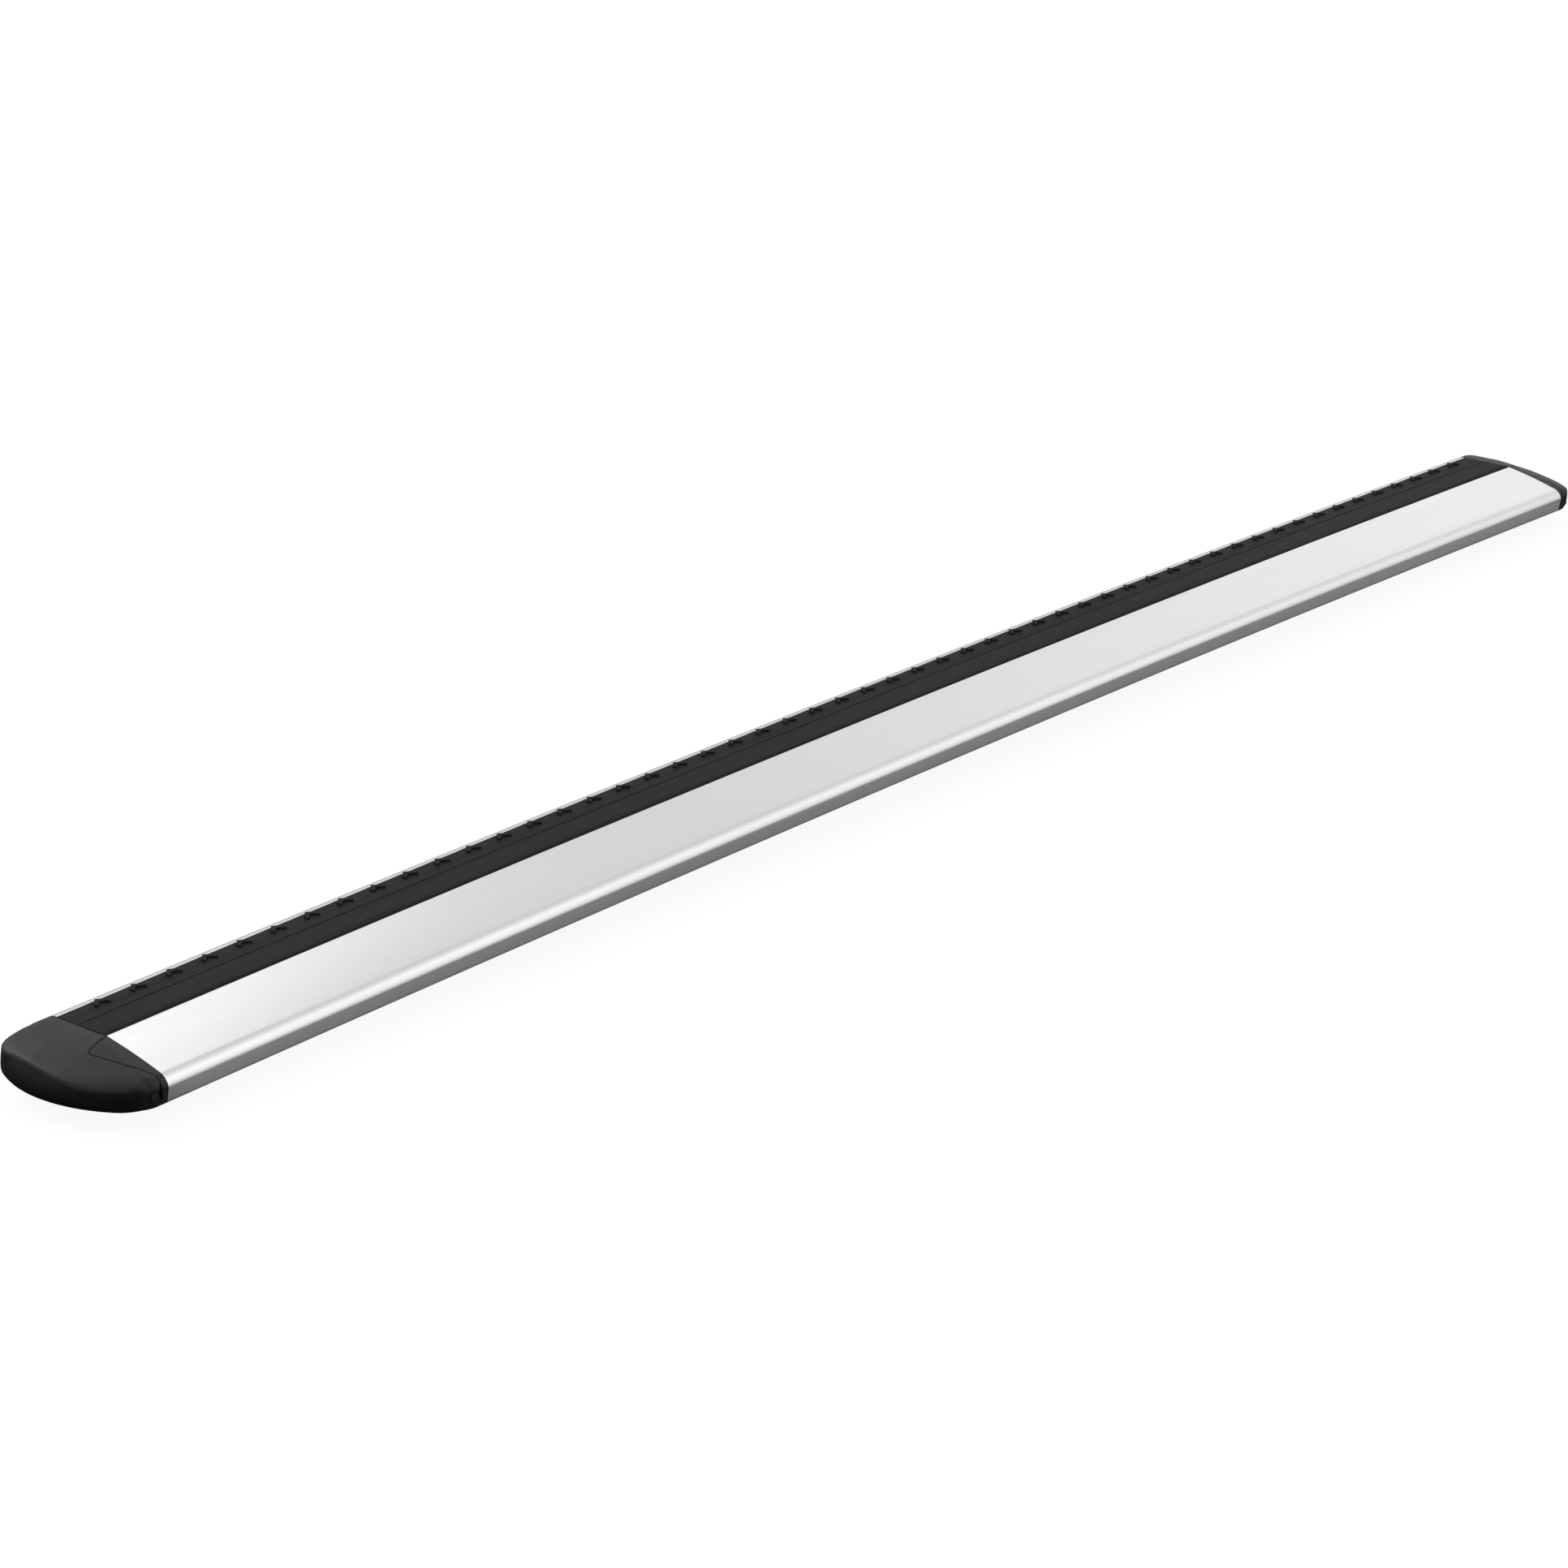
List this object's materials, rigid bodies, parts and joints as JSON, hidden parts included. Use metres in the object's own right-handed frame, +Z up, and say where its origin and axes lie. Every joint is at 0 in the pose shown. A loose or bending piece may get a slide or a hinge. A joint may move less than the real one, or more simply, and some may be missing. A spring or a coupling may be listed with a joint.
{
  "type": "roof rack crossbar",
  "caption": "Wing-shaped aluminium crossbar for a roof rack, with a rubber-filled track on top, a foot channel below and end covers that swing open.",
  "frame": {"origin": "middle of the bar's length and width, on the plane through the lowest edges of the two cut ends", "axes": "+X along the bar, +Y towards the rounded leading edge, +Z up through the top track"},
  "size_m": [1.1804, 0.08, 0.0358],
  "materials": {
    "anodised_aluminium": "satin clear anodised, with fine lines along the extrusion",
    "strip_rubber": "matt extruded rubber",
    "cover_plastic": "fine-grained moulded plastic with a soft sheen",
    "base_plastic": "fine-grained moulded plastic",
    "steel": "zinc-plated steel"
  },
  "bodies": {
    "bar": {"bar_extrusion": "anodised_aluminium", "top_infill_strip": "strip_rubber", "bottom_infill_strip": "strip_rubber", "end_base_left": "base_plastic", "end_base_right": "base_plastic", "hinge_pin_left": "steel", "hinge_pin_right": "steel", "screw_left_leading": "steel", "screw_left_trailing": "steel", "screw_right_leading": "steel", "screw_right_trailing": "steel"},
    "cover_left": {"end_cover_left": "cover_plastic"},
    "cover_right": {"end_cover_right": "cover_plastic"}
  },
  "joints": [
    {"name": "cover_left_hinge", "type": "hinge", "parent": "bar", "child": "cover_left", "pos_m": [-0.56584, -0.0368, 0.01439], "axis": [-0.0165, 0, 0.9999], "range_deg": [0, 90]},
    {"name": "cover_right_hinge", "type": "hinge", "parent": "bar", "child": "cover_right", "pos_m": [0.56584, -0.0368, 0.01439], "axis": [-0.0165, 0, -0.9999], "range_deg": [0, 90]}
  ]
}
